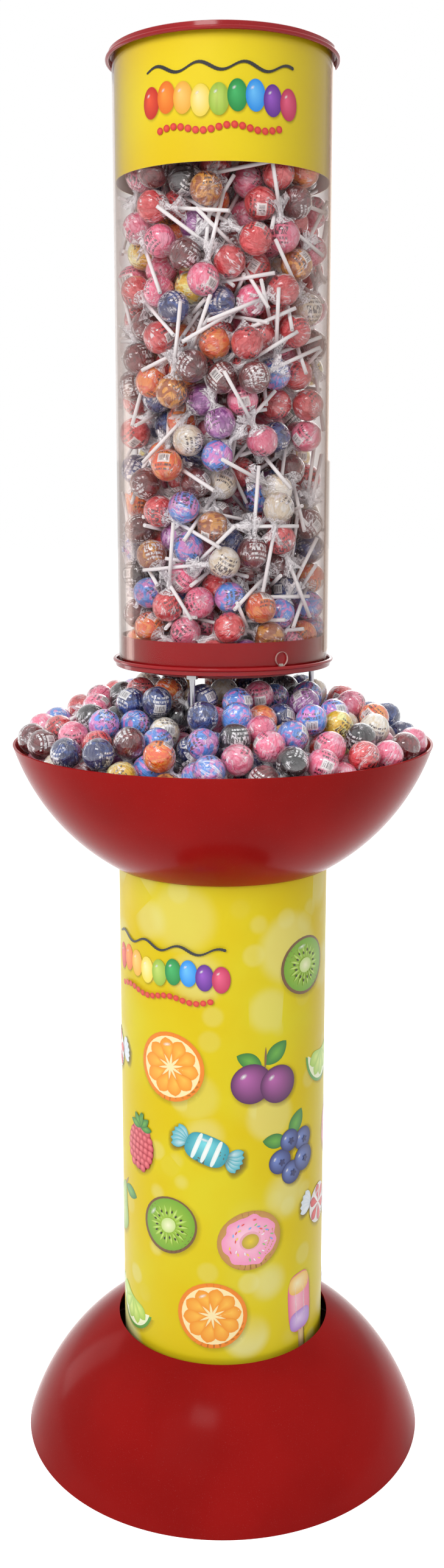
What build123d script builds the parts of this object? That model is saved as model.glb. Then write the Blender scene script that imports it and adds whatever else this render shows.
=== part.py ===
from build123d import *
import math
import os

os.makedirs("parts", exist_ok=True)

# Gravity feed display for wrapped lollipops. Millimetres, +Z up, origin on the floor under
# the middle of the base. The front is towards -Y and angles are measured about +Z from +X.

# Clear feed tube, rolled from sheet and closed by a strip along its seam
tube_radius = 121.0
tube_wall = 2.2
tube_length = 660.0
tube_seat_gap = 0.3
seam_angle = -9.8
seam_width = 40.0
seam_thickness = 1.1
seam_margin = 16.0
seam_gap = 0.05
notch_radius = 8.0
notch_angle = -57.4
notch_height = 15.0
notch_slot_width = 6.4

# Column with its printed wrap and its end plugs, a little wider than the tube
column_step = 3.0
column_wall = 5.0
wrap_thickness = 0.6
wrap_gap = 0.05
wrap_seam_width = 1.8
plug_thickness = 18.0
plug_gap = 0.3

# Bowl and base dome, two spun shells of one profile, the dome upside down
shell_radius = 246.0
shell_foot_margin = 7.8
shell_depth = 144.0
shell_wall = 3.0
shell_steps = 7
bowl_rim_height = 874.0
dome_hole_gap = 7.2

# Round base board on its rubber feet
foot_height = 6.0
foot_radius = 16.0
foot_inset = 46.0
foot_count = 4
board_thickness = 22.0
board_dome_gap = 0.9

# Tie rod that pulls board, column, bowl and plate together
rod_radius = 6.0
rod_hole_gap = 0.5
rod_end = 4.0
rod_nut_flats = 18.0
rod_nut_height = 10.0
rod_washer_radius = 19.0
rod_washer_thickness = 2.5
rod_recess_gap = 2.0
thread_gap = 0.05

# Plate in the bowl and the three legs that carry the tray
plate_margin = 13.0
plate_thickness = 6.0
leg_count = 3
leg_radius = 3.175
leg_collar_margin = 9.6
leg_first_angle = -108.4
leg_hole_gap = 0.3
leg_nut_flats = 11.0
leg_nut_height = 5.5
cap_nut_crown = 4.6
cap_nut_taper = 32.0
cap_nut_engagement = 5.0

# Two spun pans of one profile, the feed tray below the tube and the lid on top of it
pan_overhang = 7.0
pan_wall = 1.6
pan_rise = 6.4
pan_bead_radius = 2.2
pan_bead_sides = 6
pan_tube_gap = 1.4
tray_floor_under = 964.0
tray_mouth_margin = 15.0
tray_mouth_flange = 7.0

# Collars, one standing in the bottom of the tube and one hanging from the lid
collar_wall = 1.6
collar_gap = 0.6
tray_collar_height = 34.0
lid_collar_height = 26.0

# Locating tab on the collar that stands in the notch of the tube
tab_width = 5.0
tab_height = 9.0
tab_thickness = 1.2
tab_reach = 4.4
tab_floor_gap = 0.5

# Header card inside the top of the tube
header_height = 131.0
header_thickness = 0.7
header_gap = 0.3

# Heights and radii that follow from the driving dimensions
tube_bore = tube_radius - tube_wall
tray_collar_radius = tube_bore - collar_gap
leg_circle_radius = tray_collar_radius - collar_wall - leg_collar_margin
tray_mouth_radius = leg_circle_radius - tray_mouth_margin
plate_radius = leg_circle_radius + plate_margin
pan_radius = tube_radius + pan_overhang
column_radius = tube_radius + column_step
shell_foot_radius = column_radius + shell_foot_margin
curve_rise = (shell_radius**2 - shell_foot_radius**2 - shell_depth**2) / (2 * shell_depth)
curve_outer = math.hypot(shell_radius, curve_rise)
curve_inner = curve_outer - shell_wall
board_top = foot_height + board_thickness
board_radius = math.sqrt(curve_inner**2 - (curve_rise + board_top) ** 2) - board_dome_gap
bowl_floor_under = bowl_rim_height - shell_depth
bowl_floor_top = bowl_floor_under + shell_wall
column_tube_radius = column_radius - wrap_thickness - wrap_gap
column_bore = column_tube_radius - column_wall
dome_hole_radius = column_radius + dome_hole_gap
plate_top = bowl_floor_top + plate_thickness
tray_floor_top = tray_floor_under + pan_wall
tube_bottom = tray_floor_top + tube_seat_gap
tube_top = tube_bottom + tube_length
header_bore = tube_bore - header_gap - header_thickness
lid_under = tube_top + tube_seat_gap
rod_hole_radius = rod_radius + rod_hole_gap
leg_hole_radius = leg_radius + leg_hole_gap


def curve_depth(radius, curve_radius):
    """Depth below the rim at which the shell's curve has the given radius."""
    return math.sqrt(curve_radius**2 - radius**2) - curve_rise


def curve_points(curve_radius, end_depth, rim_height, sign):
    """Points down the shell's curve from its rim, as (radius, height), in even steps of angle."""
    first = math.asin(curve_rise / curve_radius)
    last = math.asin((curve_rise + end_depth) / curve_radius)
    points = []
    for step in range(shell_steps + 1):
        angle = first + (last - first) * step / shell_steps
        depth = curve_radius * math.sin(angle) - curve_rise
        points.append((curve_radius * math.cos(angle), rim_height + sign * depth))
    return points


def keep(part, label):
    """Label one finished piece and write its file."""
    part.label = label
    export_step(part, "parts/" + label + ".step")


# Base dome: the shell upside down on the floor, open round the column
dome_outer = curve_points(curve_outer, curve_depth(dome_hole_radius, curve_outer), 0, 1)
dome_inner = curve_points(curve_inner, curve_depth(dome_hole_radius, curve_inner), 0, 1)
with BuildPart() as base_dome:
    with BuildSketch(Plane.XZ):
        with BuildLine():
            Polyline(*dome_outer, *reversed(dome_inner), close=True)
        make_face()
    revolve(axis=Axis.Z)
keep(base_dome.part, "base_dome")

# Bowl: the shell the right way up, with a flat floor on the column
bowl_outer = curve_points(curve_outer, shell_depth, bowl_rim_height, -1)
bowl_inner = curve_points(curve_inner, shell_depth - shell_wall, bowl_rim_height, -1)
with BuildPart() as bowl:
    with BuildSketch(Plane.XZ):
        with BuildLine():
            Polyline(
                *bowl_outer,
                (rod_hole_radius, bowl_floor_under),
                (rod_hole_radius, bowl_floor_top),
                *reversed(bowl_inner),
                close=True,
            )
        make_face()
    revolve(axis=Axis.Z)
keep(bowl.part, "bowl")

# Base board: a heavy round board with a recess below for the tie rod's nut
recess_depth = rod_washer_thickness + rod_nut_height + rod_recess_gap
with BuildPart() as base_board:
    with BuildSketch(Plane.XY.offset(foot_height)):
        Circle(board_radius)
        Circle(rod_hole_radius, mode=Mode.SUBTRACT)
    extrude(amount=board_thickness)
    with BuildSketch(Plane.XY.offset(foot_height)):
        Circle(rod_washer_radius + rod_recess_gap)
    extrude(amount=recess_depth, mode=Mode.SUBTRACT)
keep(base_board.part, "base_board")

# Rubber feet bonded under the board
with BuildPart() as foot_pads:
    with BuildSketch():
        with PolarLocations(board_radius - foot_inset, foot_count, 180 / foot_count):
            Circle(foot_radius)
    extrude(amount=foot_height)
keep(foot_pads.part, "foot_pads")

# Column tube between board and bowl
with BuildPart() as column_tube:
    with BuildSketch(Plane.XY.offset(board_top)):
        Circle(column_tube_radius)
        Circle(column_bore, mode=Mode.SUBTRACT)
    extrude(amount=bowl_floor_under - board_top)
keep(column_tube.part, "column_tube")

# Printed wrap round the column, butted at the back
with BuildPart() as column_wrap:
    with BuildSketch(Plane.XY.offset(board_top)):
        Circle(column_radius)
        Circle(column_radius - wrap_thickness, mode=Mode.SUBTRACT)
        with Locations((0, column_radius - wrap_thickness / 2)):
            Rectangle(wrap_seam_width, 3 * wrap_thickness, mode=Mode.SUBTRACT)
    extrude(amount=bowl_floor_under - board_top)
keep(column_wrap.part, "column_wrap")


def end_plug(bottom):
    """Wooden plug that keeps one end of the column round."""
    with BuildPart() as plug:
        with BuildSketch(Plane.XY.offset(bottom)):
            Circle(column_bore - plug_gap)
            Circle(rod_hole_radius, mode=Mode.SUBTRACT)
        extrude(amount=plug_thickness)
    return plug.part


keep(end_plug(board_top), "lower_plug")
keep(end_plug(bowl_floor_under - plug_thickness), "upper_plug")

# Tie rod, from the recess under the board to above the plate in the bowl
lower_washer_bottom = foot_height + recess_depth - rod_washer_thickness
lower_nut_bottom = lower_washer_bottom - rod_nut_height
upper_nut_bottom = plate_top + rod_washer_thickness
rod_top = upper_nut_bottom + rod_nut_height + rod_end
with BuildPart() as tie_rod:
    with BuildSketch(Plane.XY.offset(lower_nut_bottom)):
        Circle(rod_radius)
    extrude(amount=rod_top - lower_nut_bottom)
    chamfer(tie_rod.edges().filter_by(GeomType.CIRCLE), rod_radius / 6)
keep(tie_rod.part, "tie_rod")

with BuildPart() as rod_washers:
    for height in (lower_washer_bottom, plate_top):
        with BuildSketch(Plane.XY.offset(height)):
            Circle(rod_washer_radius)
            Circle(rod_hole_radius, mode=Mode.SUBTRACT)
        extrude(amount=rod_washer_thickness)
keep(rod_washers.part, "rod_washers")

with BuildPart() as rod_nuts:
    for height in (lower_nut_bottom, upper_nut_bottom):
        with BuildSketch(Plane.XY.offset(height)):
            RegularPolygon(rod_nut_flats / 2, 6, major_radius=False)
            Circle(rod_radius + thread_gap, mode=Mode.SUBTRACT)
        extrude(amount=rod_nut_height)
keep(rod_nuts.part, "rod_nuts")

# Steel plate on the bowl's floor, drilled for the legs
with BuildPart() as bowl_plate:
    with BuildSketch(Plane.XY.offset(bowl_floor_top)):
        Circle(plate_radius)
        Circle(rod_hole_radius, mode=Mode.SUBTRACT)
        with PolarLocations(leg_circle_radius, leg_count, leg_first_angle):
            Circle(leg_hole_radius, mode=Mode.SUBTRACT)
    extrude(amount=plate_thickness)
keep(bowl_plate.part, "bowl_plate")

# Feed tray: a spun pan with a beaded lip, open in the middle over the bowl
pan_bead_circle = pan_radius - pan_bead_radius
pan_turn_radius = tube_radius + seam_thickness + pan_tube_gap
tray_middle = tray_floor_under + pan_wall / 2
with BuildPart() as feed_tray:
    with BuildSketch(Plane.XZ):
        with BuildLine() as tray_line:
            Polyline(
                (tray_mouth_radius, tray_middle - tray_mouth_flange),
                (tray_mouth_radius, tray_middle),
                (pan_turn_radius, tray_middle),
                (pan_bead_circle, tray_middle + pan_rise),
            )
        trace(tray_line.line, pan_wall)
        with Locations((pan_bead_circle, tray_middle + pan_rise)):
            RegularPolygon(pan_bead_radius, pan_bead_sides)
    revolve(axis=Axis.Z)
    with BuildSketch(Plane.XY.offset(tray_floor_under)):
        with PolarLocations(leg_circle_radius, leg_count, leg_first_angle):
            Circle(leg_hole_radius)
    extrude(amount=pan_wall, mode=Mode.SUBTRACT)
keep(feed_tray.part, "feed_tray")

# Lid: the same pan upside down and closed
lid_middle = lid_under + pan_wall / 2
with BuildPart() as lid:
    with BuildSketch(Plane.XZ):
        with BuildLine() as lid_line:
            Polyline(
                (pan_wall, lid_middle),
                (pan_turn_radius, lid_middle),
                (pan_bead_circle, lid_middle - pan_rise),
            )
        trace(lid_line.line, pan_wall)
        with Locations((pan_bead_circle, lid_middle - pan_rise)):
            RegularPolygon(pan_bead_radius, pan_bead_sides)
        with Locations((pan_wall / 2, lid_middle)):
            Rectangle(pan_wall, pan_wall)
    revolve(axis=Axis.Z)
keep(lid.part, "lid")


def collar(outer_radius, bottom, height):
    """Sheet metal ring, welded by one edge to its pan."""
    with BuildPart() as ring:
        with BuildSketch(Plane.XY.offset(bottom)):
            Circle(outer_radius)
            Circle(outer_radius - collar_wall, mode=Mode.SUBTRACT)
        extrude(amount=height)
    return ring.part


# The tray's collar stands inside the tube, and the lid's hangs inside the header card
keep(collar(tray_collar_radius, tray_floor_top, tray_collar_height), "tray_collar")
keep(collar(header_bore - collar_gap, lid_under - lid_collar_height, lid_collar_height), "lid_collar")

# Clear feed tube with a keyhole notch open to its lower edge
with BuildPart() as feed_tube:
    with BuildSketch(Plane.XY.offset(tube_bottom)):
        Circle(tube_radius)
        Circle(tube_bore, mode=Mode.SUBTRACT)
    extrude(amount=tube_length)
    notch_plane = Plane.XZ.rotated((0, 0, notch_angle + 90)).offset(tube_bore - tube_wall)
    with BuildSketch(notch_plane):
        with Locations((0, tube_bottom + notch_height)):
            Circle(notch_radius)
        with Locations((0, tube_bottom + notch_height / 2)):
            Rectangle(notch_slot_width, notch_height)
    extrude(amount=3 * tube_wall, mode=Mode.SUBTRACT)
keep(feed_tube.part, "feed_tube")


def ring_sector(inner, outer, middle_angle, half_arc, bottom, height):
    """Upright curved strip between two radii, half_arc degrees to each side of its middle."""
    with BuildPart() as sector:
        with BuildSketch(Plane.XY.offset(bottom)):
            with BuildLine():
                CenterArc((0, 0), inner, middle_angle - half_arc, 2 * half_arc)
                CenterArc((0, 0), outer, middle_angle - half_arc, 2 * half_arc)
                for side in (-half_arc, half_arc):
                    angle = math.radians(middle_angle + side)
                    direction = Vector(math.cos(angle), math.sin(angle))
                    Line(direction * inner, direction * outer)
            make_face()
        extrude(amount=height)
    return sector.part


# Strip that closes the tube's seam on the outside
seam_inner = tube_radius + seam_gap
seam_strip = ring_sector(
    seam_inner,
    seam_inner + seam_thickness,
    seam_angle,
    math.degrees(seam_width / seam_inner) / 2,
    tube_bottom + seam_margin,
    tube_length - 2 * seam_margin,
)
keep(seam_strip, "tube_seam_strip")

# Header card, a printed ring inside the top of the tube
with BuildPart() as header_card:
    with BuildSketch(Plane.XY.offset(tube_top - header_height)):
        Circle(header_bore + header_thickness)
        Circle(header_bore, mode=Mode.SUBTRACT)
    extrude(amount=header_height)
keep(header_card.part, "header_card")

# Locating tab: a bent clip on the outside of the collar that stands in the foot of the notch
tab_face = tray_collar_radius
tab_bottom = tube_bottom + tab_floor_gap
tab_plane = Plane.XZ.rotated((0, 0, notch_angle + 90)).offset(tab_face)
with BuildPart() as tube_tab:
    with BuildSketch(tab_plane):
        with Locations((0, tab_bottom + tab_height / 2)):
            Rectangle(tab_width, tab_height)
    extrude(amount=tab_thickness)
    with BuildSketch(tab_plane):
        with Locations((0, tab_bottom + tab_thickness / 2)):
            Rectangle(tab_width, tab_thickness)
    extrude(amount=tab_reach)
keep(tube_tab.part, "tube_tab")


# Nuts on the plate and under the tray
with BuildPart() as leg_nuts:
    for height in (plate_top, tray_floor_under - leg_nut_height):
        with BuildSketch(Plane.XY.offset(height)):
            with PolarLocations(leg_circle_radius, leg_count, leg_first_angle):
                RegularPolygon(leg_nut_flats / 2, 6, major_radius=False)
                Circle(leg_radius + thread_gap, mode=Mode.SUBTRACT)
        extrude(amount=leg_nut_height)
keep(leg_nuts.part, "leg_nuts")

# Cap nuts over the tops of the legs, on the tray's floor
leg_top = tray_floor_top + cap_nut_engagement
with BuildPart() as leg_cap_nuts:
    with BuildSketch(Plane.XY.offset(tray_floor_top)):
        with PolarLocations(leg_circle_radius, leg_count, leg_first_angle):
            RegularPolygon(leg_nut_flats / 2, 6, major_radius=False)
    extrude(amount=leg_nut_height)
    with BuildSketch(Plane.XY.offset(tray_floor_top + leg_nut_height)):
        with PolarLocations(leg_circle_radius, leg_count, leg_first_angle):
            RegularPolygon(leg_nut_flats / 2, 6, major_radius=False)
    extrude(amount=cap_nut_crown, taper=cap_nut_taper)
    with BuildSketch(Plane.XY.offset(tray_floor_top)):
        with PolarLocations(leg_circle_radius, leg_count, leg_first_angle):
            Circle(leg_radius + thread_gap)
    extrude(amount=cap_nut_engagement + thread_gap, mode=Mode.SUBTRACT)
keep(leg_cap_nuts.part, "leg_cap_nuts")

# Three legs, one node each
for index in range(leg_count):
    with BuildPart() as leg:
        with BuildSketch(Plane.XY.offset(bowl_floor_top)):
            with PolarLocations(leg_circle_radius, 1, leg_first_angle + index * 360 / leg_count):
                Circle(leg_radius)
        extrude(amount=leg_top - bowl_floor_top)
    keep(leg.part, "leg_" + str(index + 1))
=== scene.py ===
import math
from functools import partialmethod

import bpy
import numpy as np
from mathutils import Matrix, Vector


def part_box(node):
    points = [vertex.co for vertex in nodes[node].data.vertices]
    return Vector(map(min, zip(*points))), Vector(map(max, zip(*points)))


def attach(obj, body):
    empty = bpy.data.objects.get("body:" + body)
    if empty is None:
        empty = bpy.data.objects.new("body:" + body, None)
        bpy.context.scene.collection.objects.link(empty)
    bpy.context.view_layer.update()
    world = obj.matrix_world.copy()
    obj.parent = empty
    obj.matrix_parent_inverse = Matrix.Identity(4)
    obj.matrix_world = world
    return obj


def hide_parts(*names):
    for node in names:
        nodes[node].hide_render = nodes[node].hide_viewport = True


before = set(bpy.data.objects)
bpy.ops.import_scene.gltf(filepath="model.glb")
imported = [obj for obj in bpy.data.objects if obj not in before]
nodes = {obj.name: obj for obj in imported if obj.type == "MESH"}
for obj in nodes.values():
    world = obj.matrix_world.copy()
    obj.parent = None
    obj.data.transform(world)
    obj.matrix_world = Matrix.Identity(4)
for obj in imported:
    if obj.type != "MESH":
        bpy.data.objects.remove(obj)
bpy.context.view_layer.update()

# Sizes read from the frame, in metres
COLUMN_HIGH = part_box("column_wrap")[1]
BOWL_LOW, BOWL_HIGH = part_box("bowl")
TUBE_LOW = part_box("feed_tube")[0]
HEADER_LOW, HEADER_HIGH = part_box("header_card")
TRAY_LOW, TRAY_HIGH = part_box("feed_tray")
COLLAR_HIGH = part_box("tray_collar")[1]
LID_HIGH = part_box("lid")[1]
LEG_BOXES = [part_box(name) for name in ("leg_1", "leg_2", "leg_3")]
LEG_RADIUS = (LEG_BOXES[0][1].x - LEG_BOXES[0][0].x) / 2
LEG_PLACES = [(low + high) / 2 for low, high in LEG_BOXES]
COLUMN_RADIUS = COLUMN_HIGH.x
HEADER_RADIUS = HEADER_HIGH.x
HEADER_MIDDLE = (HEADER_LOW.z + HEADER_HIGH.z) / 2 - 0.004

# Sizes that the frame's boxes don't give
HEADER_CARD_THICK = 0.0007
TUBE_BORE = HEADER_RADIUS + 0.0003
TUBE_OUTSIDE = TUBE_BORE + 0.0022
DOME_HOLE = COLUMN_RADIUS + 0.0072

# The wrapped lollipops
BALL_RADIUS = 0.0178
STICK_RADIUS = 0.00215
STICK_REACH = 0.094
SEED = 11


# Shader maths


class Value:
    """A number or colour that varies over a surface, usable in sums and products."""

    def __init__(self, finish, socket):
        self.finish = finish
        self.socket = socket

    def math(self, operation, *others):
        inputs = {index: other for index, other in enumerate((self, *others))}
        return self.finish.node("Math", {"operation": operation}, inputs)

    def __rsub__(self, other):
        return self.finish.node("Math", {"operation": "SUBTRACT"}, {0: other, 1: self})

    __add__ = partialmethod(math, "ADD")
    __sub__ = partialmethod(math, "SUBTRACT")
    __mul__ = partialmethod(math, "MULTIPLY")
    __abs__ = partialmethod(math, "ABSOLUTE")

    # 1 where this is less, or more, than a limit, and 0 elsewhere
    below = partialmethod(math, "LESS_THAN")
    above = partialmethod(math, "GREATER_THAN")

    def ramp(self, low, high):
        """0 at low, 1 at high, smooth between, clamped outside."""
        settings = {"interpolation_type": "SMOOTHSTEP"}
        inputs = {"Value": self, "From Min": low, "From Max": high}
        return self.finish.node("MapRange", settings, inputs, "Result")


WHITE = (1.0, 1.0, 1.0)


class Finish:
    """One material, or the surround, built node by node."""

    def __init__(self, name, family=bpy.data.materials, output="OutputMaterial"):
        self.owner = family.new(name)
        self.owner.use_nodes = True
        self.tree = self.owner.node_tree
        self.tree.nodes.clear()
        self.output = self.tree.nodes.new("ShaderNode" + output)

    def node(self, kind, settings=None, inputs=None, output=0):
        """Add a node, set it up, feed its sockets and return one of its outputs."""
        node = self.tree.nodes.new("ShaderNode" + kind)
        for key, value in (settings or {}).items():
            setattr(node, key, value)
        for key, value in (inputs or {}).items():
            self.feed(node.inputs[key], value)
        return Value(self, node.outputs[output])

    def feed(self, socket, value):
        """Link a varying value to a socket, or set a constant on it."""
        if isinstance(value, Value):
            self.tree.links.new(value.socket, socket)
        elif isinstance(value, (tuple, list)) and len(value) == 3 and socket.type == "RGBA":
            socket.default_value = (*value, 1.0)
        else:
            socket.default_value = value

    def attribute(self, name, output="Vector"):
        return self.node("Attribute", {"attribute_name": name}, None, output)

    def place(self):
        """The place on the piece, in metres."""
        return self.node("TexCoord", None, None, "Object")

    def split(self, vector):
        """The three numbers of a vector."""
        node = self.tree.nodes.new("ShaderNodeSeparateXYZ")
        self.feed(node.inputs[0], vector)
        return [Value(self, output) for output in node.outputs]

    def join(self, x, y, z=0.0):
        return self.node("CombineXYZ", None, {0: x, 1: y, 2: z})

    def noise(self, vector, scale, detail=2.0, roughness=0.5, distortion=0.0):
        inputs = {"Vector": vector, "Scale": scale, "Detail": detail}
        inputs |= {"Roughness": roughness, "Distortion": distortion}
        return self.node("TexNoise", None, inputs, "Fac")

    def spots(self, vector, scale, output="Distance"):
        """Distance to the nearest of many scattered points, or a colour for each point."""
        return self.node("TexVoronoi", None, {"Vector": vector, "Scale": scale}, output)

    def mix(self, factor, first, second):
        """A colour between two colours."""
        node = self.tree.nodes.new("ShaderNodeMix")
        node.data_type = "RGBA"  # its colour sockets are the inputs 6 and 7 and the output 2
        self.feed(node.inputs[0], factor)
        self.feed(node.inputs[6], first)
        self.feed(node.inputs[7], second)
        return Value(self, node.outputs[2])

    def bump(self, height, strength, distance):
        inputs = {"Height": height, "Strength": strength, "Distance": distance}
        return self.node("Bump", None, inputs, "Normal")

    def principled(self, **inputs):
        named = {key.replace("_", " "): value for key, value in inputs.items()}
        return self.node("BsdfPrincipled", None, named, "BSDF")

    def blend(self, factor, first, second):
        return self.node("MixShader", None, {0: factor, 1: first, 2: second})

    def done(self, shader):
        self.tree.links.new(shader.socket, self.output.inputs["Surface"])
        return self.owner

    def solid(self, colour, roughness, relief, strength, distance, **more):
        """An opaque surface of this colour, with a relief that is only shaded."""
        bump = self.bump(relief, strength, distance)
        return self.principled(Base_Color=colour, Roughness=roughness, Normal=bump, **more)


# Finishes


def gloss_red(name, colour, roughness, peel, gloss):
    """Sprayed gloss red with faint orange peel and soft dust."""
    f = Finish(name)
    place = f.place()
    cloud = f.noise(place, 7.0, 3.0)
    dust = f.noise(place, 900.0, 2.0).ramp(0.62, 0.78)
    dark = tuple(0.8 * part for part in colour)
    tone = f.mix(cloud.ramp(0.3, 0.75), dark, colour)
    tone = f.mix(dust * 0.05, tone, (0.7, 0.6, 0.6))
    surface = f.noise(place, 260.0, 2.0)
    cloudy = cloud * 0.06 + roughness
    return f.done(f.solid(tone, cloudy, surface, peel, 0.0004, Specular_IOR_Level=gloss))


def bare_metal(name, colour, roughness, scratch):
    """Plated or polished metal with fine upright streaks."""
    f = Finish(name)
    x, y, z = f.split(f.place())
    streak = f.noise(f.join(x * 6.0, y * 6.0, z * 0.4), 500.0, 2.0)
    tone = f.mix(streak.ramp(0.35, 0.7), tuple(0.86 * part for part in colour), colour)
    brushed = streak * 0.12 + roughness
    return f.done(f.solid(tone, brushed, streak, scratch, 0.0002, Metallic=1.0))


def plain(name, colour, roughness, grain, scale):
    """Board, card or rubber: a mottled colour with a fine grain."""
    f = Finish(name)
    mottle = f.noise(f.place(), scale, 4.0, 0.6)
    tone = f.mix(mottle.ramp(0.3, 0.7), tuple(0.72 * part for part in colour), colour)
    return f.done(f.solid(tone, mottle * 0.15 + roughness, mottle, grain, 0.0006))


def yellow_print(name, radius):
    """Printed film: yellow ground, drifting green-gold clouds and soft pale discs."""
    f = Finish(name)
    x, y, z = f.split(f.place())
    around = x.math("ARCTAN2", y * -1.0) * radius
    sheet = f.join(around, z)
    cloud = f.noise(sheet, 5.0, 3.0)
    ground = f.mix(cloud.ramp(0.35, 0.7), (0.74, 0.55, 0.009), (0.74, 0.65, 0.028))
    low = 1.0 - z.ramp(0.15, 0.5) * 0.45
    foot = 0.6 - z.ramp(0.13, 0.22) * 0.6
    for scale, size, strength in ((9.0, 0.44, 0.85), (13.0, 0.46, 0.7), (24.0, 0.38, 0.4)):
        distance = f.spots(sheet, scale)
        chance = f.split(f.spots(sheet, scale, "Color"))[0]
        disc = (1.0 - distance.ramp(size * 0.62, size)) * (chance + foot).ramp(0.3, 0.85)
        ground = f.mix(disc * low * strength, ground, (0.8, 0.78, 0.36))
    film = f.noise(sheet, 120.0, 2.0)
    satin = film * 0.08 + 0.3
    return f.done(f.solid(ground, satin, film, 0.12, 0.0003, Specular_IOR_Level=0.12))


def header_print(name, radius, thick):
    """Printed card: yellow outside with a golden fade to one side, plain pale paper inside."""
    f = Finish(name)
    x, y, z = f.split(f.place())
    around = x.math("ARCTAN2", y * -1.0) * radius
    fade = f.noise(f.join(around * 0.6, z), 6.0, 2.0)
    yellow = f.mix(fade.ramp(0.3, 0.7), (0.83, 0.61, 0.01), (0.89, 0.73, 0.018))
    distance = (x * x + y * y).math("SQRT")
    outside = distance.above(radius - thick / 2)
    paper = f.noise(f.place(), 400.0, 3.0)
    tone = f.mix(outside, (0.92, 0.88, 0.85), yellow)
    satin = paper * 0.1 + 0.32
    return f.done(f.solid(tone, satin, paper, 0.08, 0.0002, Specular_IOR_Level=0.25))


def clear_sheet(name, tint, strength, haze, through):
    """Clear plastic: see-through, tan where it is seen edge on, with faint smears."""
    f = Finish(name)
    x, y, z = f.split(f.place())
    smear = f.noise(f.join(x * 5.0, y * 5.0, z * 0.7), 6.0, 4.0)
    tilt = f.node("LayerWeight", None, {"Blend": 0.5}, "Facing")
    edge = tilt.math("POWER", 3.2) + 0.008
    shade = smear.ramp(0.45, 0.8) * haze + edge * strength
    gloss = f.principled(Base_Color=tint, Metallic=1.0, Roughness=0.05)
    open_part = f.node("BsdfTransparent", None, {"Color": through})
    return f.done(f.blend(shade.math("MINIMUM", 0.75), open_part, gloss))


def ink(name):
    """Printing ink whose colour and opacity are stored in the mesh."""
    f = Finish(name)
    colour = f.attribute("ink", "Color")
    film = f.noise(f.place(), 700.0, 2.0)
    layer = f.solid(colour, film * 0.06 + 0.3, film, 0.05, 0.0001)
    bare = f.node("BsdfTransparent", None, {"Color": WHITE})
    return f.done(f.blend(f.attribute("ink", "Alpha"), bare, layer))


def wrapped_candy(name):
    """Hard candy seen through creased film, with pale bar-marked patches printed on the film and
    painted glints along the creases.
    """
    f = Finish(name)
    ball = f.attribute("ball")
    fold = f.attribute("fold")
    across, along, facing = f.split(f.attribute("patch"))
    first = f.attribute("candy_a", "Color")
    second = f.attribute("candy_b", "Color")
    tone = f.mix(f.noise(ball, 1.2, 2.0, 0.5, 1.8).ramp(0.46, 0.58), first, second)

    # Small print on the film: rows of marks and one bold row, pale on dark candy
    wide, high = abs(across), abs(along)
    marks = f.noise(f.join(across * 15.0, along * 4.0), 1.0).above(0.48)
    rows = abs(high - 0.44).below(0.07) + abs(high - 0.66).below(0.045)
    marks = marks * rows.math("MINIMUM", 1.0) * wide.below(0.55)
    bold = f.noise(f.join(across * 9.0, along * 3.0), 1.0).above(0.5)
    bold = bold * high.below(0.24) * wide.below(0.58) * facing.below(-0.2)
    red, green, blue = f.split(first)
    dark_candy = (red + green + blue).below(0.4)
    printing = f.mix(dark_candy, (0.03, 0.01, 0.02), (0.85, 0.84, 0.86))
    tone = f.mix((marks + bold).math("MINIMUM", 1.0) * 0.9, tone, printing)

    # A pale patch with upright bars
    side = facing.above(0.25)
    patch = wide.below(0.38) * high.below(0.3) * side
    bars = f.node("TexNoise", {"noise_dimensions": "1D"}, {"W": across, "Scale": 24.0}, "Fac")
    bars = bars.above(0.5) * wide.below(0.29) * high.below(0.19) * side
    tone = f.mix(patch * 0.85, tone, (0.92, 0.9, 0.89))
    tone = f.mix(bars * 0.9, tone, (0.04, 0.03, 0.04))

    # Creases in the film, which show as thin pale lines: painted glints, with a faint painted sheen
    # beside them
    streak = abs(f.noise(fold, 1.5, 3.0, 0.6, 0.7) - 0.5)
    cross = abs(f.noise(ball, 2.0, 1.0, 0.5, 0.8) - 0.5)
    shine = f.noise(ball, 1.4, 1.0).ramp(0.5, 0.62)
    glint = (1.0 - streak.ramp(0.006, 0.03)) * shine
    kink_glint = (1.0 - cross.ramp(0.003, 0.016)) * shine
    # haze is a faint painted sheen along the creases and over the glinting patches; it also
    # roughens the gloss
    haze = (1.0 - streak.ramp(0.02, 0.16)) * 0.05 + shine * 0.02
    # Painted highlights: the glints, the kink glints and the sheen lighten the candy's colour
    # towards white
    pale = (glint * 0.72 + kink_glint * 0.45 + haze).math("MINIMUM", 0.92)
    tone = f.mix(pale, tone, (0.98, 0.95, 1.0))
    relief = streak * 1.2 + cross * 0.8
    gloss = {"Specular_IOR_Level": 0.6, "Coat_Weight": 1.0, "Coat_Roughness": 0.05}
    gloss |= {"Coat_IOR": 1.65, "Sheen_Weight": 0.2, "Sheen_Roughness": 0.35}
    return f.done(f.solid(tone, haze + 0.14, relief, 0.9, 0.004, **gloss))


def film_tail(name):
    """Gathered clear film: mostly see-through, with milky glossy pleats whose whiteness is partly
    painted highlight.
    """
    f = Finish(name)
    ball = f.attribute("ball")
    pleat = abs(f.noise(ball, 3.2, 3.0, 0.6, 1.2) - 0.5)
    # A base of milky film, with painted highlights that make the pleats nearly opaque white
    milky_and_glint = (1.0 - pleat.ramp(0.01, 0.1)) * 0.7 + 0.18
    white = f.solid((0.98, 0.97, 1.0), 0.1, pleat, 0.8, 0.002)
    open_part = f.node("BsdfTransparent", None, {"Color": (0.97, 0.97, 0.98)})
    return f.done(f.blend(milky_and_glint, open_part, white))


def paper_stick(name):
    """Rolled white paper, faintly fibrous and soiled."""
    f = Finish(name)
    place = f.place()
    fibre = f.noise(place, 600.0, 3.0)
    soil = f.noise(place, 25.0, 2.0)
    tone = f.mix(soil.ramp(0.3, 0.7), (0.92, 0.89, 0.9), (0.98, 0.97, 0.98))
    return f.done(f.solid(tone, fibre * 0.15 + 0.42, fibre, 0.2, 0.0003))


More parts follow.
